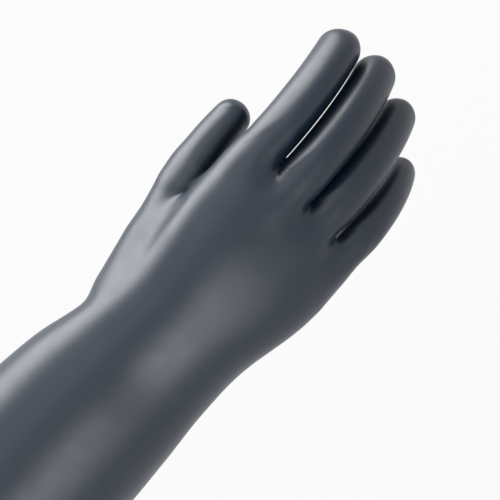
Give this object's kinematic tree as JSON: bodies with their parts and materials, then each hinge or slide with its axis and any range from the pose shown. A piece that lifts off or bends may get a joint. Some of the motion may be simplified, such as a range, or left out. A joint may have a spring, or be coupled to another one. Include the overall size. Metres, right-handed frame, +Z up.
{
  "type": "electrical insulating glove",
  "caption": "Long-gauntlet dipped rubber insulating glove for the right hand, hollow, gently curved, with a rolled cuff bead and a bare patch.",
  "frame": {"origin": "bottom centre of the whole glove as it lies palm down, on the table it lies on", "axes": "+Y from the cuff to the fingertips, +Z up out of the back of the hand, the thumb on the -X side"},
  "size_m": [0.128, 0.358, 0.124],
  "materials": {
    "glove_rubber": "smooth satin, dipped",
    "cuff_bead": "smooth satin, rolled while wet",
    "label_patch": "matte, bonded and bare"
  },
  "bodies": {
    "gauntlet": {"gauntlet": "glove_rubber", "cuff_bead": "cuff_bead", "label_patch": "label_patch", "wrist_fold": "glove_rubber"},
    "palm": {"palm_shell": "glove_rubber", "thumb_root_fold": "glove_rubber", "index_root_fold": "glove_rubber", "middle_root_fold": "glove_rubber", "ring_root_fold": "glove_rubber", "little_root_fold": "glove_rubber"},
    "thumb_stall": {"thumb_stall": "glove_rubber", "thumb_middle_fold": "glove_rubber"},
    "thumb_tip": {"thumb_tip": "glove_rubber"},
    "index_stall": {"index_stall": "glove_rubber", "index_middle_fold": "glove_rubber"},
    "index_tip": {"index_tip": "glove_rubber"},
    "middle_stall": {"middle_stall": "glove_rubber", "middle_middle_fold": "glove_rubber"},
    "middle_tip": {"middle_tip": "glove_rubber"},
    "ring_stall": {"ring_stall": "glove_rubber", "ring_middle_fold": "glove_rubber"},
    "ring_tip": {"ring_tip": "glove_rubber"},
    "little_stall": {"little_stall": "glove_rubber", "little_middle_fold": "glove_rubber"},
    "little_tip": {"little_tip": "glove_rubber"}
  },
  "joints": [
    {"name": "wrist_bend", "type": "hinge", "parent": "gauntlet", "child": "palm", "pos_m": [0.00201, -0.03753, 0.06006], "axis": [-1, 0, 0], "range_deg": [-35, 35], "stiffness_Nm_per_rad": 2, "deforming": ["wrist_fold"]},
    {"name": "thumb_root_bend", "type": "hinge", "parent": "palm", "child": "thumb_stall", "pos_m": [-0.04748, 0.05537, 0.02732], "axis": [0.2891, 0.2504, 0.924], "range_deg": [-40, 20], "stiffness_Nm_per_rad": 0.4, "deforming": ["thumb_root_fold"]},
    {"name": "thumb_middle_bend", "type": "hinge", "parent": "thumb_stall", "child": "thumb_tip", "pos_m": [-0.05065, 0.07619, 0.02268], "axis": [0.2891, 0.2504, 0.924], "range_deg": [-45, 15], "stiffness_Nm_per_rad": 0.1, "deforming": ["thumb_middle_fold"]},
    {"name": "index_root_bend", "type": "hinge", "parent": "palm", "child": "index_stall", "pos_m": [-0.03545, 0.11404, 0.04599], "axis": [-1, 0.0035, 0], "range_deg": [-20, 60], "stiffness_Nm_per_rad": 0.4, "deforming": ["index_root_fold"]},
    {"name": "index_middle_bend", "type": "hinge", "parent": "index_stall", "child": "index_tip", "pos_m": [-0.03536, 0.1396, 0.03303], "axis": [-1, 0.0035, 0], "range_deg": [-20, 60], "stiffness_Nm_per_rad": 0.15, "deforming": ["index_middle_fold"]},
    {"name": "middle_root_bend", "type": "hinge", "parent": "palm", "child": "middle_stall", "pos_m": [-0.00917, 0.11021, 0.05628], "axis": [-0.9999, 0.0105, 0], "range_deg": [-20, 60], "stiffness_Nm_per_rad": 0.4, "deforming": ["middle_root_fold"]},
    {"name": "middle_middle_bend", "type": "hinge", "parent": "middle_stall", "child": "middle_tip", "pos_m": [-0.00884, 0.14216, 0.03916], "axis": [-0.9999, 0.0105, 0], "range_deg": [-20, 60], "stiffness_Nm_per_rad": 0.15, "deforming": ["middle_middle_fold"]},
    {"name": "ring_root_bend", "type": "hinge", "parent": "palm", "child": "ring_stall", "pos_m": [0.01657, 0.10658, 0.05398], "axis": [-0.9997, 0.0227, 0], "range_deg": [-20, 60], "stiffness_Nm_per_rad": 0.4, "deforming": ["ring_root_fold"]},
    {"name": "ring_middle_bend", "type": "hinge", "parent": "ring_stall", "child": "ring_tip", "pos_m": [0.01724, 0.1362, 0.03784], "axis": [-0.9997, 0.0227, 0], "range_deg": [-20, 60], "stiffness_Nm_per_rad": 0.15, "deforming": ["ring_middle_fold"]},
    {"name": "little_root_bend", "type": "hinge", "parent": "palm", "child": "little_stall", "pos_m": [0.04138, 0.10244, 0.04801], "axis": [-0.999, 0.0436, 0], "range_deg": [-20, 60], "stiffness_Nm_per_rad": 0.4, "deforming": ["little_root_fold"]},
    {"name": "little_middle_bend", "type": "hinge", "parent": "little_stall", "child": "little_tip", "pos_m": [0.04225, 0.12242, 0.03349], "axis": [-0.999, 0.0436, 0], "range_deg": [-20, 60], "stiffness_Nm_per_rad": 0.15, "deforming": ["little_middle_fold"]}
  ]
}
